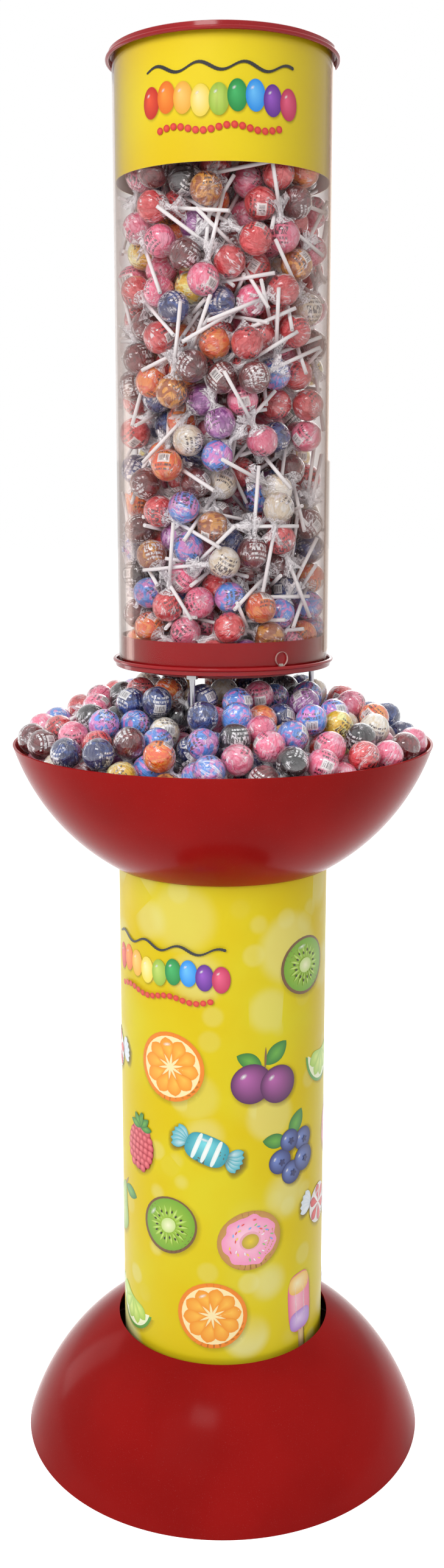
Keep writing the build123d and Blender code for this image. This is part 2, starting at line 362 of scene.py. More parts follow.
RED = (0.345, 0.0088, 0.0078)
PAN_RED = (0.36, 0.008, 0.011)
shell_red = gloss_red("shell_red", RED, 0.14, 0.04, 0.035)
pan_red = gloss_red("pan_red", PAN_RED, 0.1, 0.03, 0.28)
chrome = bare_metal("leg_chrome", (0.52, 0.51, 0.54), 0.14, 0.03)
zinc = bare_metal("zinc", (0.55, 0.55, 0.56), 0.28, 0.1)
board_brown = plain("board_brown", (0.33, 0.24, 0.15), 0.75, 0.4, 90.0)
plug_wood = plain("plug_wood", (0.52, 0.4, 0.26), 0.65, 0.3, 60.0)
card_brown = plain("card_brown", (0.42, 0.31, 0.2), 0.8, 0.2, 120.0)
rubber = plain("rubber", (0.035, 0.035, 0.035), 0.7, 0.3, 300.0)
tab_grey = plain("tab_grey", (0.66, 0.62, 0.55), 0.4, 0.1, 200.0)
wrap_yellow = yellow_print("wrap_yellow", COLUMN_RADIUS)
header_yellow = header_print("header_yellow", HEADER_RADIUS, HEADER_CARD_THICK)
tube_clear = clear_sheet("tube_clear", (0.36, 0.265, 0.225), 0.95, 0.006, (0.985, 0.974, 0.972))
seam_clear = clear_sheet("seam_clear", (0.46, 0.36, 0.3), 0.8, 0.06, (0.93, 0.88, 0.84))
# Opaque pale pink for the clear tube's cut edge: a painted highlight
cut_edge_highlight = plain("cut_edge_highlight", (0.72, 0.46, 0.42), 0.3, 0.05, 300.0)
candy = wrapped_candy("wrapped_candy")
film = film_tail("film_tail")
stick_paper = paper_stick("stick_paper")
print_ink = ink("print_ink")

NODES_OF_FINISH = (
    (shell_red, ("base_dome", "bowl")),
    (pan_red, ("feed_tray", "tray_collar", "lid", "lid_collar")),
    (board_brown, ("base_board",)),
    (rubber, ("foot_pads",)),
    (card_brown, ("column_tube",)),
    (wrap_yellow, ("column_wrap",)),
    (plug_wood, ("lower_plug", "upper_plug")),
    (zinc, ("tie_rod", "rod_nuts", "rod_washers", "bowl_plate", "leg_nuts", "leg_cap_nuts")),
    (chrome, ("leg_1", "leg_2", "leg_3")),
    (tube_clear, ("feed_tube",)),
    (seam_clear, ("tube_seam_strip",)),
    (tab_grey, ("tube_tab",)),
    (header_yellow, ("header_card",)),
)
for finish, node_names in NODES_OF_FINISH:
    for node_name in node_names:
        slots = nodes[node_name].data.materials
        slots.clear()
        slots.append(finish)


# Meshes

SHARP_ANGLE = math.radians(38)


def mesh_piece(name, points, faces, material, body="root"):
    """A smooth mesh object that rides on a body."""
    mesh = bpy.data.meshes.new(name)
    mesh.from_pydata([tuple(point) for point in points], [], faces)
    mesh.update()
    mesh.polygons.foreach_set("use_smooth", [True] * len(mesh.polygons))
    mesh.materials.append(material)
    piece = bpy.data.objects.new(name, mesh)
    bpy.context.scene.collection.objects.link(piece)
    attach(piece, body)
    return piece


def store(piece, name, kind, rows):
    """Keep one value for each point of a piece, for its material to read."""
    attribute = piece.data.attributes.new(name, kind, "POINT")
    field = "color" if kind == "FLOAT_COLOR" else "vector"
    attribute.data.foreach_set(field, np.asarray(rows, dtype=np.float32).ravel())


def wall_faces(rings, sides, start=0, down=False):
    """Faces between rings of points that follow each other, from the point start on."""
    faces = []
    for low in range(start, start + (rings - 1) * sides, sides):
        for side in range(sides):
            after = (side + 1) % sides
            corners = (low + side, low + after, low + sides + after, low + sides + side)
            faces.append(corners[:1] + corners[:0:-1] if down else corners)
    return faces


def spun(name, profile, steps, material, body="root"):
    """A closed profile of (radius, height) points turned about the Z axis."""
    points = []
    faces = []
    count = len(profile)
    for step in range(steps):
        angle = 2 * math.pi * step / steps
        for radius, height in profile:
            points.append((radius * math.cos(angle), radius * math.sin(angle), height))
        for index in range(count):
            after = (index + 1) % count
            here, other = step * count, (step + 1) % steps * count
            faces.append((here + index, other + index, other + after, here + after))
    piece = mesh_piece(name, points, faces, material, body)
    piece.data.set_sharp_from_angle(angle=SHARP_ANGLE)
    return piece


# Spun shells and pans, smooth where the frame has short chords

SHELL_WALL = 0.003
SHELL_STEPS = 192
RIM_EASE = 0.0006
BOWL_BORE = 0.0065
SHELL_FOOT = COLUMN_RADIUS + 0.0078
SHELL_DEPTH = BOWL_HIGH.z - BOWL_LOW.z
SHELL_RADIUS = BOWL_HIGH.x
CURVE_RISE = (SHELL_RADIUS**2 - SHELL_FOOT**2 - SHELL_DEPTH**2) / (2 * SHELL_DEPTH)
CURVE_OUTER = math.hypot(SHELL_RADIUS, CURVE_RISE)
CURVE_INNER = CURVE_OUTER - SHELL_WALL


def arc_down(curve, end_depth, steps):
    """Points down the shell's curve from its rim, as (radius, depth)."""
    first = math.asin(CURVE_RISE / curve)
    last = math.asin((CURVE_RISE + end_depth) / curve)
    angles = [first + (last - first) * step / steps for step in range(steps + 1)]
    return [(curve * math.cos(angle), curve * math.sin(angle) - CURVE_RISE) for angle in angles]


def rim_and_walls(outer_depth, inner_depth, steps=40):
    """The shell's outline up its inner wall, over the rounded rim and down its outer wall."""
    outer = arc_down(CURVE_OUTER, outer_depth, steps)
    inner = arc_down(CURVE_INNER, inner_depth, steps)
    inner_rim = inner[0][0]
    outer[0] = (outer[0][0] - RIM_EASE * 0.5, 0.0)
    inner[0] = (inner_rim + RIM_EASE * 0.5, 0.0)
    outer.insert(1, (SHELL_RADIUS - RIM_EASE * 0.05, RIM_EASE))
    inner.insert(1, (inner_rim - RIM_EASE * 0.1, RIM_EASE))
    return inner[::-1], outer


def make_bowl():
    inner, outer = rim_and_walls(SHELL_DEPTH, SHELL_DEPTH - SHELL_WALL)
    profile = [(BOWL_BORE, SHELL_DEPTH), (BOWL_BORE, SHELL_DEPTH - SHELL_WALL), *inner, *outer]
    profile = [(radius, BOWL_HIGH.z - depth) for radius, depth in profile]
    bowl = spun("bowl_shell", profile, SHELL_STEPS, shell_red)
    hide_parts("bowl")


def make_dome():
    outer_depth = math.sqrt(CURVE_OUTER**2 - DOME_HOLE**2) - CURVE_RISE
    inner_depth = math.sqrt(CURVE_INNER**2 - DOME_HOLE**2) - CURVE_RISE
    inner, outer = rim_and_walls(outer_depth, inner_depth)
    dome = spun("dome_shell", [*inner, *outer], SHELL_STEPS, shell_red)
    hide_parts("base_dome")


def bead(radius, height, size, first, last, steps=12):
    """Points round a rolled edge, from the first angle to the last, in degrees."""
    angles = [math.radians(first + (last - first) * step / steps) for step in range(steps + 1)]
    return [(radius + size * math.cos(a), height + size * math.sin(a)) for a in angles]


PAN_STEPS = 160
PAN_WALL = 0.0016
PAN_BEAD = 0.0022
PAN_RISE = 0.0064
PAN_EDGE = TRAY_HIGH.x - PAN_BEAD
PAN_TURN = 0.1235
MOUTH = 0.0912
MOUTH_FLANGE = 0.0062


def pan_profile(start):
    """A pan's outline from its underside's inner end out to the bead and back along its top."""
    bead_height = PAN_WALL / 2 + PAN_RISE
    under = [(PAN_TURN + 0.0002, 0.0), (PAN_TURN + 0.0012, 0.0007)]
    over = [(PAN_TURN - 0.0002, PAN_WALL + 0.0008), (PAN_TURN - 0.0014, PAN_WALL)]
    rolled = bead(PAN_EDGE, bead_height, PAN_BEAD, -100, 190)
    return [(start, 0.0), *under, *rolled, *over, (start, PAN_WALL)]


def make_tray():
    outside = MOUTH + PAN_WALL
    profile = [(outside, -MOUTH_FLANGE), (outside, -0.0006), (MOUTH + 0.0026, 0.0)]
    profile += pan_profile(MOUTH + 0.004)
    profile += [(MOUTH + 0.0012, PAN_WALL), (MOUTH, PAN_WALL - 0.0008), (MOUTH, -MOUTH_FLANGE)]
    floor = TRAY_LOW.z + MOUTH_FLANGE
    profile = [(radius, height + floor) for radius, height in profile]
    tray = spun("tray_pan", profile, PAN_STEPS, pan_red)
    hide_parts("feed_tray")


def make_lid():
    middle = (0.0, 0.04, 0.08)
    profile = [(radius, 0.0) for radius in middle] + pan_profile(0.11)
    profile += [(radius, PAN_WALL) for radius in middle[::-1]]
    profile = [(radius, LID_HIGH.z - height) for radius, height in profile]
    lid = spun("lid_pan", profile, PAN_STEPS, pan_red, "lid")
    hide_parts("lid")


# The keyhole notch in the tube, as part.py cuts it
NOTCH_TURN = math.radians(-57.4)
NOTCH_RADIUS = 0.008
NOTCH_HEIGHT = 0.015
NOTCH_HALF_SLOT = 0.0032
CUT_WIDTH = 0.00032
CUT_LIFT = 0.0003


def make_notch_edge():
    """The bright cut edge of the tube's sheet round its keyhole notch, coloured an opaque pale pink
    as a painted highlight.
    """
    lean = math.asin(NOTCH_HALF_SLOT / NOTCH_RADIUS)
    turns = np.linspace(-math.pi / 2 + lean, 1.5 * math.pi - lean, 40)
    ring = np.stack([np.cos(turns), np.sin(turns)], 1)

    def keyhole(inset):
        foot = NOTCH_HALF_SLOT - inset
        curve = np.array((0.0, NOTCH_HEIGHT)) + ring * (NOTCH_RADIUS - inset)
        return np.concatenate([[(foot, CUT_LIFT)], curve, [(-foot, CUT_LIFT)]])

    outward = np.array((math.cos(NOTCH_TURN), math.sin(NOTCH_TURN), 0.0))
    sideways = np.array((-outward[1], outward[0], 0.0))
    points = []
    for cut, free in zip(keyhole(0.0), keyhole(CUT_WIDTH)):
        outside = ((cut, TUBE_OUTSIDE), (free, TUBE_OUTSIDE))
        inside = ((free, TUBE_BORE), (cut, TUBE_BORE))
        for (across, rise), radius in outside + inside:
            flat = outward * math.sqrt(radius**2 - across**2) + sideways * across
            points.append(flat + np.array((0, 0, TUBE_LOW.z + rise)))
    last = len(points) - 1
    faces = [(0, 1, 2, 3), (last, last - 1, last - 2, last - 3)]
    faces += wall_faces(len(turns) + 2, 4, 0, True)
    piece = mesh_piece("notch_edge", points, faces, cut_edge_highlight)
    piece.data.set_sharp_from_angle(angle=SHARP_ANGLE)


# Printed artwork

MILLIMETRE = 0.001
INK_LIFT = 0.00004
HEADER_INK_STEP = 0.000012
COLUMN_INK_STEP = 0.00003


def moved(outline, x, y, tilt):
    c, s = math.cos(math.radians(tilt)), math.sin(math.radians(tilt))
    return outline @ np.array(((c, s), (-s, c))) + np.array((x, y))


def oval(x, y, wide, high, tilt=0.0, power=2.0, count=32):
    """Outline of an ellipse, or of a rounded block at a higher power."""
    turn = np.linspace(0, 2 * math.pi, count, endpoint=False)
    c, s = np.cos(turn), np.sin(turn)
    across = wide * np.sign(c) * np.abs(c) ** (2 / power)
    up = high * np.sign(s) * np.abs(s) ** (2 / power)
    return moved(np.stack([across, up], 1), x, y, tilt)


def leaf(x, y, length, width, tilt, belly=1.0, count=12):
    """Outline of a leaf or fruit segment from its foot; a larger belly is fuller at the far end."""
    share = np.linspace(0, 1, count + 1)
    half = width / 2 * np.sin(math.pi * share**belly) ** 0.75
    side = np.stack([share * length, half], 1)
    back = np.stack([share[::-1] * length, -half[::-1]], 1)[1:-1]
    return moved(np.concatenate([side, back]), x, y, tilt)


def around(degrees, wide, high=None):
    """A point on a circle, or on an ellipse."""
    turn = math.radians(degrees)
    return wide * math.cos(turn), (high or wide) * math.sin(turn)


class Drawing:
    """Flat shapes over each other, in millimetres, with their colours in percent."""

    RING_WIDTH = 4.5

    def __init__(self, draw):
        self.shapes = []
        draw(self)

    def fill(self, outline, inner, outer=None, glow=(0.0, 0.0), opacity=(1.0, 1.0)):
        """A shape shaded from its middle, moved by glow, to its outline."""
        middle = outline.mean(axis=0)
        span = np.linalg.norm(outline - middle, axis=1).max()
        rings = max(2, math.ceil(span / self.RING_WIDTH))
        share = np.linspace(0, 1, rings + 1)[1:, None, None]
        start = middle + np.array(glow) * span
        points = np.concatenate([start[None], (start + (outline - start) * share).reshape(-1, 2)])
        count = len(outline)
        shades = np.concatenate([[0.0], np.repeat(share[:, 0, 0], count)])[:, None]
        first = np.array((*inner, 100 * opacity[0])) / 100
        last = np.array((*(outer or inner), 100 * opacity[1])) / 100
        faces = [(0, 1 + k, 1 + (k + 1) % count) for k in range(count)]
        faces += wall_faces(rings, count, 1, True)
        self.shapes.append((points, first + (last - first) * shades, faces))

    def shadow(self, outline, reach=3.2, strength=0.5):
        """A soft dark edge below and to the right of a shape."""
        middle = outline.mean(axis=0)
        spread = np.linalg.norm(outline - middle, axis=1).mean()
        grown = middle + (outline - middle) * (1 + reach / spread)
        shifted = grown + np.array((0.5, -0.6)) * reach
        self.fill(shifted, (16, 10, 1), None, (0, 0), (3.2 * strength, 0.0))

    def seated(self, outline, *shading):
        """A shape over its own shadow."""
        self.shadow(outline)
        self.fill(outline, *shading)

    def glint(self, x, y, wide, high, tilt, strength, count=12, tint=(100, 100, 100), edge=0.0):
        """A pale highlight that fades towards its edge."""
        self.fill(oval(x, y, wide, high, tilt, 2.0, count), tint, None, (0, 0), (strength, edge))


def print_on(name, copies, radius, step):
    """Wrap copies of drawings round a cylinder: (drawing, angle, height, tilt, size) each."""
    points, tints, faces = [], [], []
    start = 0
    for drawing, angle, height, tilt, size in copies:
        for layer, (flat, shades, cells) in enumerate(drawing.shapes):
            laid = moved(flat * size * MILLIMETRE, 0.0, 0.0, tilt)
            turn = math.radians(angle) + laid[:, 0] / radius
            reach = radius + INK_LIFT + step * (layer + 1)
            rise = height + laid[:, 1]
            points.append(np.stack([reach * np.cos(turn), reach * np.sin(turn), rise], 1))
            tints.append(shades)
            faces += [tuple(index + start for index in cell) for cell in cells]
            start += len(flat)
    piece = mesh_piece(name, np.concatenate(points), faces, print_ink)
    store(piece, "ink", "FLOAT_COLOR", np.clip(np.concatenate(tints), 0, 1))


LEAF_GREEN = ((14, 42, 5), (2, 17, 2))


def orange_slices(d):
    d.seated(oval(0, 0, 34, 34), (92, 40, 2), (84, 22, 0.5))
    d.fill(oval(0, 0, 30, 30), (97, 80, 42))
    for k in range(10):
        tilt = 36 * k + 8
        segment = leaf(*around(tilt, 3.5), 25.2, 15, tilt, 1.9)
        d.fill(segment, (96, 52, 6), (88, 29, 1), (0.2, 0.1))
    d.glint(-9, 20, 4.5, 1.8, 25, 0.9, 32, (100, 95, 80), 0.1)


def kiwi_slices(d):
    d.seated(oval(0, 0, 31, 28, 15), (25, 13, 3), (16, 7, 2))
    d.fill(oval(0.6, 0.4, 28.5, 25.5, 15), (42, 62, 5), (16, 38, 1))
    for k in range(18):
        ray = leaf(*around(20 * k, 8.5, 7.5), 13, 2.6, 20 * k, 1.0, 6)
        d.fill(ray, (62, 78, 20), (34, 56, 6))
    d.fill(oval(0, 0, 8.8, 7.2, 15), (88, 90, 58), (55, 72, 22))
    for k in range(16):
        tilt = 22.5 * k + 8
        reach = 11.8 if k % 2 else 14.2
        seed = leaf(*around(tilt, reach, reach * 0.9), 3.4, 1.8, tilt, 1.0, 5)
        d.fill(seed, (2, 1.5, 1))
    d.glint(-12, 16, 6, 2.2, 30, 0.75, 32, (95, 100, 85))


def berries(d, places, radius, inner, outer):
    """Round fruit in a bunch with two leaves behind."""
    for x, y, size in places:
        d.shadow(oval(x, y, radius * size, radius * size))
    d.fill(leaf(2, 12, 30, 17, 38), *LEAF_GREEN)
    d.fill(leaf(-2, 12, 27, 15, 150), *LEAF_GREEN)
    for x, y, size in places:
        r = radius * size
        d.fill(oval(x, y, r, r * 0.98), inner, outer, (-0.34, 0.36))
        d.glint(x - 0.36 * r, y + 0.42 * r, 0.22 * r, 0.13 * r, 35, 0.85)


def blueberries(d):
    places = [(-16, -4, 1.0), (17, 0, 0.95), (1, 10, 0.9)]
    places += [(-8, -22, 0.95), (11, -19, 1.05)]
    berries(d, places, 12.5, (17, 25, 60), (1.2, 1.8, 12))
    for x, y, _ in places:
        for k in range(5):
            tilt = 72 * k + 300 * x / 10
            d.fill(leaf(x + 1.5, y - 2, 4, 2.2, tilt, 1.0, 5), (2, 2.5, 12))


def plums(d):
    places = ((-13, -4, 1.0), (14, -10, 0.95))
    berries(d, places, 20, (48, 12, 40), (7, 0.5, 7))
    d.fill(leaf(1, 8, 22, 2.2, 84, 1.0, 8), (22, 12, 4))


def raspberries(d):
    d.seated(oval(0, -4, 20, 24), (42, 1, 3), (26, 0.4, 1))
    for row in range(7):
        y = 14 - 6.2 * row
        width = 19.5 * math.sqrt(max(0.05, 1 - ((y + 4) / 24) ** 2))
        count = max(2, round(2 * width / 6.8))
        for k in range(count):
            x = (k - (count - 1) / 2) * 2 * width / count
            d.fill(oval(x, y, 4.2, 4, 0, 2, 16), (90, 20, 22), (48, 1.5, 4), (-0.25, 0.3))
    for k in range(5):
        d.fill(leaf(0, 17, 16, 7.5, 10 + 40 * k), *LEAF_GREEN)
    d.fill(leaf(0, 18, 16, 2.4, 80, 1.0, 8), (10, 30, 4))


def pears(d):
    turn = np.linspace(0, 2 * math.pi, 48, endpoint=False)
    up = np.sin(turn)
    neck = up > 0
    reach = 23.5 * (1 + 0.28 * np.maximum(up, 0) ** 5 - 0.16 * np.abs(up) * neck)
    wide = reach * np.cos(turn) * np.where(neck, 1 - 0.42 * up, 1.0)
    outline = np.stack([wide, reach * up * np.where(neck, 1.35, 0.95) - 6], 1)
    d.shadow(outline)
    d.fill(leaf(1, 26, 15, 2.8, 75, 1.0, 8), (25, 14, 5))
    d.fill(leaf(3, 28, 26, 13, 18), *LEAF_GREEN)
    d.fill(outline, (80, 86, 28), (22, 42, 3), (-0.28, -0.1))
    for k in range(26):
        x = 14 * math.sin(k * 2.4) * (0.35 + 0.65 * ((k * 7) % 13) / 13)
        y = -10 + 18 * math.cos(k * 1.7)
        d.fill(oval(x, y, 0.5, 0.5, 0, 2, 8), (25, 32, 6))
    d.glint(-10, -4, 3, 6, -12, 0.8, 16, (100, 100, 90))


def lime_wedges(d):
    turn = np.linspace(math.pi, 2 * math.pi, 28)
    half = np.stack([33 * np.cos(turn), 33 * np.sin(turn)], 1)
    d.seated(half, (16, 45, 2), (6, 30, 1))
    d.fill(half * 0.9 + np.array((0, -0.4)), (88, 93, 62))
    for k in range(5):
        segment = leaf(0, -1.2, 27.5, 15, -18 - 36 * k, 1.7)
        d.fill(segment, (68, 84, 16), (36, 62, 4))


def twisted_ends(d, tint):
    """The two twisted ends of a sweet's wrapper."""
    pale = tuple(55 + 0.45 * part for part in tint)
    for side in (-1, 1):
        base = 0 if side > 0 else 180
        d.shadow(leaf(side * 15, 0, 24, 26, base, 1.6))
        for tilt in (-34, -17, 0, 17, 34):
            d.fill(leaf(side * 17, 0, 20, 8.5, base + tilt, 1.6, 8), pale, tint)


def peppermints(d):
    twisted_ends(d, (70, 78, 84))
    d.seated(oval(0, 0, 20, 20), (100, 98, 95), (80, 74, 72), (-0.2, 0.2))
    for k in range(6):
        stripe = leaf(*around(60 * k, 1), 19, 9.8, 60 * k, 2.0)
        d.fill(stripe, (85, 5, 5), (55, 1, 2))
    d.glint(-7, 10, 5, 2.5, 35, 0.9, 16)


def toffees(d):
    twisted_ends(d, (5, 42, 50))
    body = oval(0, 0, 21, 14.5, 0, 3.0)
    d.seated(body, (20, 72, 78), (2, 30, 38), (-0.15, 0.25))
    for x in (-10, 0, 10):
        d.fill(oval(x, 0, 2.2, 13.8, 0, 3.0, 24), (95, 97, 92), (75, 85, 82))
    d.glint(-6, 8.5, 8, 1.8, 4, 0.85, 16)


def ice_lollies(d):
    stick = oval(0, -36, 4.2, 16, 0, 4.0, 24)
    body = oval(0, 4, 16.5, 31, 0, 3.4, 40)
    d.shadow(stick)
    d.shadow(body)
    d.fill(stick, (82, 60, 32), (58, 36, 14))
    for shape, inner, outer in (
        (body, (98, 52, 62), (78, 10, 24)),
        (oval(0, 23.5, 14.8, 10.5, 0, 2.6), (98, 86, 50), (88, 50, 6)),
        (oval(0, -15.5, 15.2, 10.5, 0, 3.0), (80, 62, 92), (42, 20, 62)),
    ):
        d.fill(shape, inner, outer, (-0.2, 0.1))
    for x in (-6, 6):
        d.glint(x, 3, 1.4, 24, 0, 0.55, 20)


SPRINKLES = [(95, 95, 95), (10, 45, 85), (95, 75, 5)]
SPRINKLES += [(20, 65, 15), (80, 8, 6)]
GOLDEN_ANGLE = 2.39996


def doughnuts(d):
    d.seated(oval(0, 0, 32, 30), (80, 50, 20), (50, 24, 5))
    turn = np.linspace(0, 2 * math.pi, 56, endpoint=False)
    edge = 1 + 0.045 * np.sin(7 * turn) + 0.025 * np.sin(12 * turn + 1)
    icing = np.stack([27 * edge * np.cos(turn), 25.2 * edge * np.sin(turn)], 1)
    d.fill(icing, (98, 62, 74), (88, 30, 50), (-0.2, 0.25))
    d.fill(oval(0, -0.4, 10.8, 9.6), (62, 34, 12), (86, 40, 52))
    d.fill(oval(0, -1, 8.6, 7.4), (80, 60, 3), (50, 34, 3))
    for k in range(30):
        spin = k * GOLDEN_ANGLE
        reach = 13.5 + 10 * ((k * 5) % 11) / 11
        x, y = reach * math.cos(spin), reach * 0.93 * math.sin(spin)
        d.fill(oval(x, y, 1.8, 0.6, k * 67, 2, 10), SPRINKLES[k % 5])


RAINBOW = (
    ((90, 10, 3), (60, 2, 1)),
    ((98, 36, 5), (85, 18, 1)),
    ((98, 66, 18), (88, 45, 4)),
    ((99, 90, 42), (90, 72, 8)),
    ((55, 72, 15), (32, 50, 4)),
    ((6, 48, 14), (1, 25, 5)),
    ((15, 55, 98), (2, 28, 80)),
    ((34, 10, 58), (12, 2, 28)),
    ((85, 12, 25), (55, 3, 10)),
)
SWEET_PITCH = 19


def sweet_row(d):
    """A row of round sweets in rainbow order between a fine dark wave and a red dotted one."""
    for index, (inner, outer) in enumerate(RAINBOW):
        x = (index - 4) * SWEET_PITCH
        y = 3 * math.sin(index * 1.4)
        rim = oval(x, y, 10.5, 15.8)
        d.shadow(rim, 1.8, 0.45)
        d.fill(rim, outer)
        d.fill(oval(x, y, 9.6, 14.7), inner, outer, (-0.2, 0.25))
        d.glint(x - 3.4, y + 7.2, 3, 1.8, 40, 0.75)
    for index in range(60):
        x = (index - 29.5) * 2.7
        y = 30 + 4 * math.sin(index * 0.36)
        thick = 1.2 + 0.8 * math.sin(index * 0.18) ** 2
        tilt = 24 * math.cos(index * 0.36)
        d.fill(oval(x, y, 2.2, thick, tilt, 2, 12), (2, 2, 2))
    for index in range(17):
        x = (index - 8) * 8
        y = -29 + 2.6 * math.sin(index * 0.8)
        dot = oval(x, y, 3.6, 3.6, 0, 2, 16)
        d.fill(dot, (86, 10, 6), (58, 2, 2), (-0.2, 0.2))


HEADER_ROW_ANGLES = (-92, 88)
COLUMN_ROW_ANGLES = (-126, 54)
COLUMN_ROW_HEIGHT = 0.622
COLUMN_ROW_HALF_ANGLE = 62
MOTIF_HEIGHTS = (0.203, 0.302, 0.405, 0.508, 0.618)
MOTIFS_ROUND = 7
MOTIF_START_ANGLE = -96
MOTIF_SIZE = 1.24
MOTIFS = (
    orange_slices,
    kiwi_slices,
    blueberries,
    ice_lollies,
    plums,
    doughnuts,
    raspberries,
    lime_wedges,
    peppermints,
    pears,
    toffees,
)


def motif_places(count):
    """Where each kind of motif is printed: (angle, height, tilt) for every copy."""
    places = [[] for _ in range(count)]
    top_row = len(MOTIF_HEIGHTS) - 1
    for row, height in enumerate(MOTIF_HEIGHTS):
        for column in range(MOTIFS_ROUND):
            cell = MOTIFS_ROUND * row + column
            angle = MOTIF_START_ANGLE + 360 / MOTIFS_ROUND * (column + 0.5 * (row % 2))
            angle += 5 * math.sin(7.0 * cell)
            gaps = [abs((angle - middle + 180) % 360 - 180) for middle in COLUMN_ROW_ANGLES]
            if row == top_row and min(gaps) < COLUMN_ROW_HALF_ANGLE:
                continue
            rise = height + 0.01 * math.sin(5.0 * cell)
            places[(3 * column + 5 * row) % count].append((angle, rise, 24 * math.sin(3.0 * cell)))
    return places


def print_artwork():
    """The header's band and the column's scattered sweets and fruit."""
    row = Drawing(sweet_row)
    copies = [(row, angle, HEADER_MIDDLE, 0, 1.0) for angle in HEADER_ROW_ANGLES]
    print_on("header_artwork", copies, HEADER_RADIUS, HEADER_INK_STEP)
    copies = [(row, angle, COLUMN_ROW_HEIGHT, 0, 1.0) for angle in COLUMN_ROW_ANGLES]
    print_on("column_artwork_sweet_rows", copies, COLUMN_RADIUS, COLUMN_INK_STEP)
    for draw, places in zip(MOTIFS, motif_places(len(MOTIFS))):
        motif = Drawing(draw)
        copies = [(motif, *place, MOTIF_SIZE) for place in places]
        if copies:
            name = "column_artwork_" + draw.__name__
            print_on(name, copies, COLUMN_RADIUS, COLUMN_INK_STEP)


# Packing of the lollipops


def unit(vectors):
    return vectors / np.maximum(np.linalg.norm(vectors, axis=-1, keepdims=True), 1e-9)


# Where a stick is felt, as shares of its length, and how far a pass moves what overlaps
SPOTS = (0.4, 0.56, 0.72, 0.88, 1.0)
SPOT_RADIUS = 0.0026
PUSH = 1.3

# Room kept round the sticks' ends, and clearances to the tube, its collar, the legs and the bowl
TAIL_MARGIN = 0.003
TUBE_FLOOR = TRAY_LOW.z + PAN_WALL + 0.007
TUBE_CLEAR = 0.0006
COLLAR_CLEAR = 0.003
COLLAR_TAIL_CLEAR = 0.007
LEG_CLEAR = 0.0005
BOWL_CLEAR = 0.001
BOWL_EDGE_CLEAR = 0.004


def touching(heads, places, reach):
    """Pairs nearer than reach: the index of each, the way between them and their overlap."""
    gap = heads[:, None] - places[None]
    distance = np.linalg.norm(gap, axis=2)
    np.fill_diagonal(distance, 1.0)
    first, second = np.nonzero(distance < reach)
    near = distance[first, second]
    way = gap[first, second] / np.maximum(near, 1e-6)[:, None]
    return first, second, way, (reach - near)[:, None]


def part_balls(heads, tails):
    """Push balls out of balls and out of other lollipops' sticks."""
    push_head = np.zeros_like(heads)
    push_tail = np.zeros_like(tails)
    share_head = np.ones(len(heads))
    share_tail = np.ones(len(heads))
    first, _, way, depth = touching(heads, heads, 2 * BALL_RADIUS)
    np.add.at(push_head, first, way * (0.5 * depth))
    np.add.at(share_head, first, 0.5)
    for spot in SPOTS:
        places = heads + spot * (tails - heads)
        first, second, way, depth = touching(heads, places, BALL_RADIUS + SPOT_RADIUS)
        np.add.at(push_head, first, way * 0.35 * depth)
        np.add.at(share_head, first, 0.35)
        np.add.at(push_head, second, -way * 0.35 * (1 - spot) * depth)
        np.add.at(push_tail, second, -way * 0.9 * spot * depth)
        np.add.at(share_tail, second, 0.6)
    heads += push_head / share_head[:, None] * PUSH
    tails += push_tail / share_tail[:, None] * PUSH


def keep_length(heads, tails):
    """Bring every stick back to its length, mostly by its free end."""
    way = unit(tails - heads)
    excess = np.linalg.norm(tails - heads, axis=1, keepdims=True) - STICK_REACH
    heads += way * excess * 0.15
    tails -= way * excess * 0.85


def keep_within(points, limit, chosen=True):
    """Pull chosen points in to a distance from the Z axis; give back every point's distance."""
    reach = np.linalg.norm(points[:, :2], axis=1)
    over = chosen & (reach > limit)
    points[over, :2] *= (limit / reach[over])[:, None]
    return np.minimum(reach, limit)


def clear_of_legs(points, margin):
    for place in LEG_PLACES:
        gap = points[:, :2] - np.array((place.x, place.y))
        distance = np.linalg.norm(gap, axis=1)
        near = distance < margin + LEG_RADIUS
        points[near, :2] += unit(gap[near]) * (margin + LEG_RADIUS - distance[near])[:, None]


def settle(heads, tails, passes, sink, hold):
    """Let the lollipops find room, sinking a little at each pass, within what hold allows."""
    for turn in range(passes):
        fall = sink * (1 - turn / passes)
        heads[:, 2] -= fall
        tails[:, 2] -= fall
        part_balls(heads, tails)
        keep_length(heads, tails)
        hold(heads, tails)


def hold_in_tube(heads, tails):
    for points, margin in ((heads, BALL_RADIUS), (tails, TAIL_MARGIN)):
        keep_within(points, TUBE_BORE - TUBE_CLEAR - margin)
        points[:, 2] = np.clip(points[:, 2], TUBE_FLOOR + margin, STOCK_TOP - margin)
    low = heads[:, 2] < COLLAR_HIGH.z + 0.004
    keep_within(heads, COLLAR_HIGH.x - COLLAR_CLEAR - BALL_RADIUS, low)
    low = tails[:, 2] < COLLAR_HIGH.z + TAIL_MARGIN
    keep_within(tails, COLLAR_HIGH.x - COLLAR_TAIL_CLEAR, low)


# The bowl's inside is a zone of a sphere whose centre stands above the rim
BOWL_CENTRE_RISE = 0.0778
BOWL_CURVE = 0.255
HEAP_TOP = 0.954
HEAP_SLOPE = 0.45
HEAP_FLAT = 0.11
HEAP_DEPTH = 0.075


def heap_height(reach):
    """The height of the heap's top at a distance from the Z axis."""
    return HEAP_TOP - HEAP_SLOPE * np.maximum(reach - HEAP_FLAT, 0.0)


